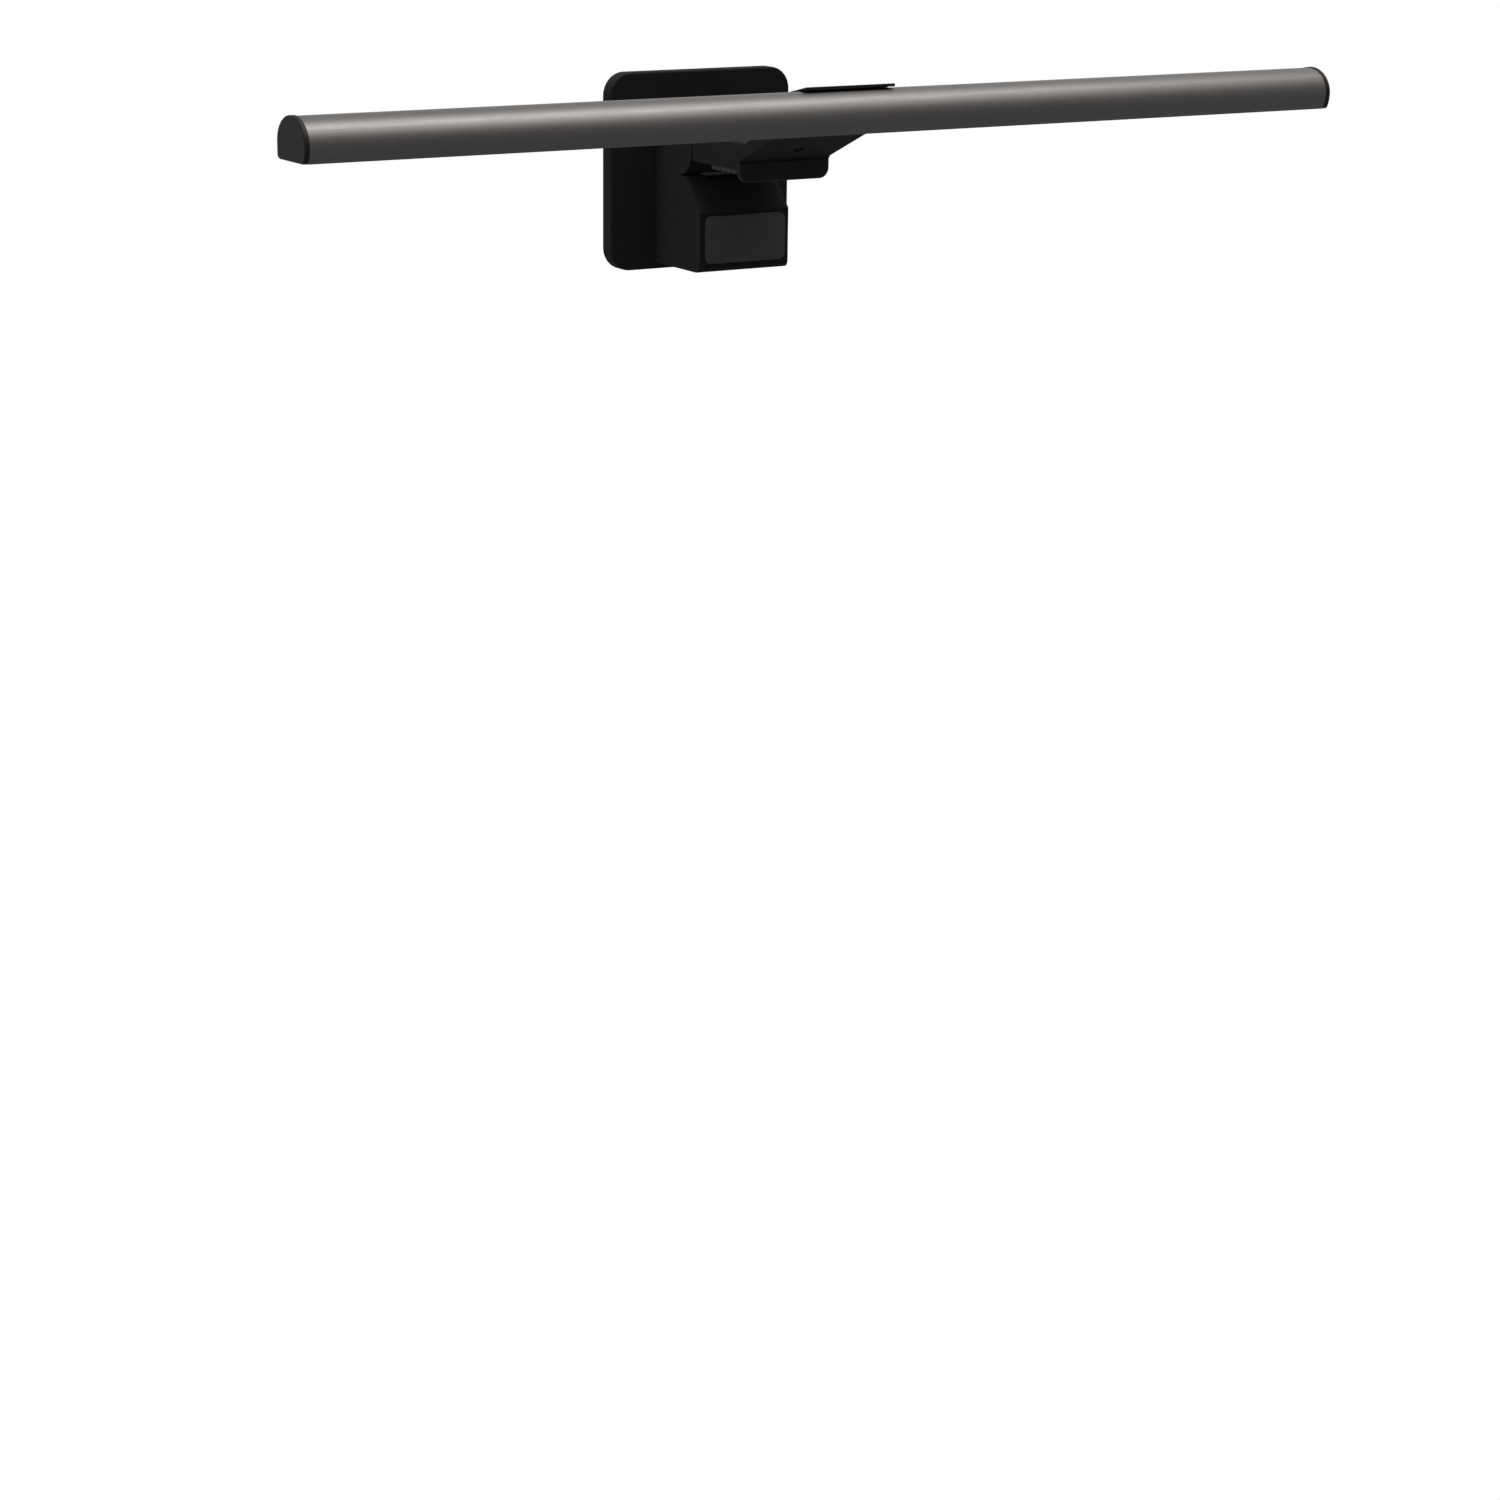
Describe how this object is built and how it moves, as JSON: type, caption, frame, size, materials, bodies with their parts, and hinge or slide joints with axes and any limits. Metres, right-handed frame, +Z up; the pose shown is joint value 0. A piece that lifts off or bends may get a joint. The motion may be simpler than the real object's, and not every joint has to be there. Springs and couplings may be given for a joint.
{
  "type": "monitor light bar",
  "caption": "Slim desk lamp that clips over the top edge of a monitor: a tilting D-section bar, an arm with a front hook, and a sprung rear leg carrying a backlight.",
  "frame": {"origin": "middle of the seat pad underside, which rests on the top edge of the monitor", "axes": "+X along the lamp to the viewer's right, +Y to the back of the monitor, +Z up"},
  "size_m": [0.5, 0.1375, 0.0898],
  "materials": {
    "bar_metal": "fine bead-blasted dark warm grey anodising",
    "diffuser_opal": "opal, satin",
    "led_board_white": "white solder mask over aluminium core",
    "led_phosphor": "phosphor yellow, silicone",
    "reflector_white": "glossy white",
    "trim_dark": "fine texture, near black",
    "clamp_dark": "fine texture, near black",
    "hook_metal": "satin near-black paint",
    "steel": "turned",
    "screw_black": "black oxide",
    "weight_iron": "plain",
    "pad_rubber": "matt silicone",
    "board_green": "solder mask",
    "component_black": "moulded",
    "sensor_black": "polished",
    "ring_dark": "polished",
    "bush_white": "acetal",
    "inlet_steel": "plated"
  },
  "bodies": {
    "clamp": {"arm_housing": "clamp_dark", "arm_top_cover": "clamp_dark", "cover_screws": "screw_black", "front_hook": "hook_metal", "hook_screws": "screw_black", "lip_pad": "pad_rubber", "seat_pad": "pad_rubber", "presence_sensor": "sensor_black", "sensor_ring": "ring_dark", "driver_board": "board_green", "board_components": "component_black", "tilt_pin": "steel", "friction_washers": "steel", "leg_bushes": "bush_white", "leg_spring": "steel"},
    "light_bar": {"bar_extrusion": "bar_metal", "bar_diffuser": "diffuser_opal", "bar_led_board": "led_board_white", "bar_leds": "led_phosphor", "bar_reflector": "reflector_white", "left_end_cap": "trim_dark", "right_end_cap": "trim_dark", "bar_saddle": "trim_dark", "saddle_screws": "screw_black", "tilt_pin_caps": "clamp_dark"},
    "rear_leg": {"leg_block": "clamp_dark", "counterweight": "weight_iron", "leg_pad": "pad_rubber", "leg_pin": "steel", "leg_pin_caps": "clamp_dark", "leg_screws": "screw_black", "backlight_housing": "clamp_dark", "backlight_bezel": "clamp_dark", "backlight_diffuser": "diffuser_opal", "backlight_led_board": "led_board_white", "backlight_leds": "led_phosphor", "usb_c_inlet": "inlet_steel"}
  },
  "joints": [
    {"name": "bar_tilt", "type": "hinge", "parent": "clamp", "child": "light_bar", "pos_m": [0, -0.043, 0.03], "axis": [1, 0, 0], "range_deg": [-15, 25]},
    {"name": "leg_swing", "type": "hinge", "parent": "clamp", "child": "rear_leg", "pos_m": [0, 0.036, 0.006], "axis": [1, 0, 0], "range_deg": [-35, 25], "stiffness_Nm_per_rad": 0.03, "springref_deg": -34.95}
  ]
}
